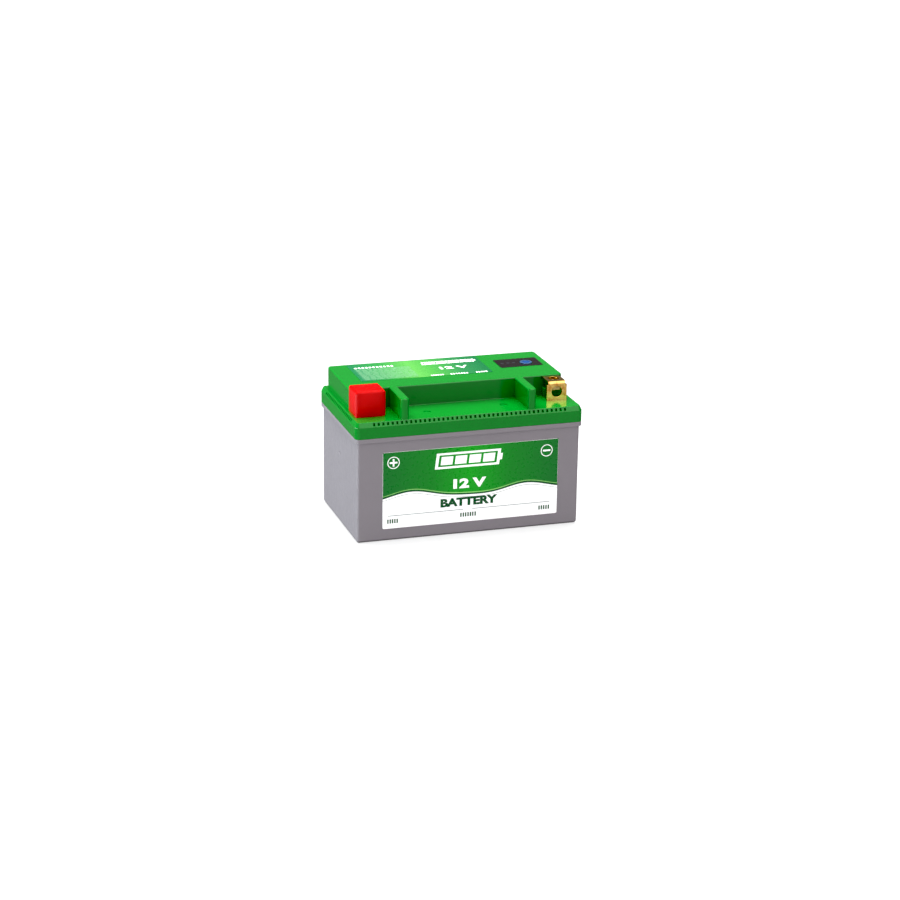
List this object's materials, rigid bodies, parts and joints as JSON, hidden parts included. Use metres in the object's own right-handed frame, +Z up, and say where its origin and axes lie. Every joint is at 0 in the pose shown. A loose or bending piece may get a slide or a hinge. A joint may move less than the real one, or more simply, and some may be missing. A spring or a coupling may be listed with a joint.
{
  "type": "motorcycle battery",
  "caption": "Low motorcycle starter battery: grey box, green ribbed lid with a raised rear step, brass terminals, red lift-off terminal cover, status panel with a test button.",
  "frame": {"origin": "centre of the underside of the case", "axes": "+X along the length towards the negative terminal, -Y towards the side with the terminals, +Z up"},
  "size_m": [0.15, 0.087, 0.0963],
  "materials": {
    "case_plastic": "satin moulded ABS, light grey",
    "lid_plastic": "glossy moulded ABS, bright green",
    "front_print": "printed film, green over white",
    "top_print": "printed film, teal to light green",
    "panel_film": "black polycarbonate overlay",
    "button_plastic": "glossy blue",
    "clear_acrylic": "clear acrylic",
    "cap_vinyl": "soft glossy vinyl, red",
    "terminal_brass": "pressed brass, polished",
    "nut_brass": "machined brass",
    "seal_rubber": "black nitrile rubber",
    "nickel_strap": "nickel-plated copper",
    "pouch_foil": "aluminium laminate pouch",
    "foam": "closed-cell polyethylene foam",
    "pad_foam": "cream compression foam",
    "tape": "polyimide tape",
    "white_nylon": "white nylon",
    "board_laminate": "green epoxy laminate",
    "screw_steel": "zinc-plated steel",
    "chip_epoxy": "black epoxy",
    "led_epoxy": "milky epoxy",
    "switch_plastic": "dark grey plastic",
    "wire_jacket": "red silicone jacket"
  },
  "bodies": {
    "battery": {"case": "case_plastic", "lid": "lid_plastic", "front_label": "front_print", "top_label": "top_print", "status_panel": "panel_film", "light_guide": "clear_acrylic", "positive_terminal": "terminal_brass", "negative_terminal": "terminal_brass", "positive_nut": "nut_brass", "negative_nut": "nut_brass", "positive_seal": "seal_rubber", "negative_seal": "seal_rubber", "positive_strap": "nickel_strap", "negative_strap": "nickel_strap", "strap_rivets": "screw_steel", "cell_1": "pouch_foil", "cell_2": "pouch_foil", "cell_3": "pouch_foil", "cell_4": "pouch_foil", "cell_pad_1": "pad_foam", "cell_pad_2": "pad_foam", "cell_pad_3": "pad_foam", "cell_band": "tape", "tab_plate": "white_nylon", "series_busbars": "nickel_strap", "bottom_foam": "foam", "front_foam": "foam", "rear_foam": "foam", "left_foam": "foam", "right_foam": "foam", "balance_board": "board_laminate", "board_screws": "screw_steel", "board_components": "chip_epoxy", "status_leds": "led_epoxy", "tact_switch": "switch_plastic", "balance_socket": "white_nylon", "balance_plug": "white_nylon", "balance_wires": "wire_jacket"},
    "cap": {"terminal_cap": "cap_vinyl"},
    "button": {"test_button": "button_plastic", "switch_plunger": "switch_plastic"}
  },
  "joints": [
    {"name": "cap_lift", "type": "slide", "parent": "battery", "child": "cap", "axis": [0, 0, 1], "range_m": [0, 0.03]},
    {"name": "button_press", "type": "slide", "parent": "battery", "child": "button", "axis": [0, 0, -1], "range_m": [0, 0.0006], "stiffness_N_per_m": 3000}
  ]
}
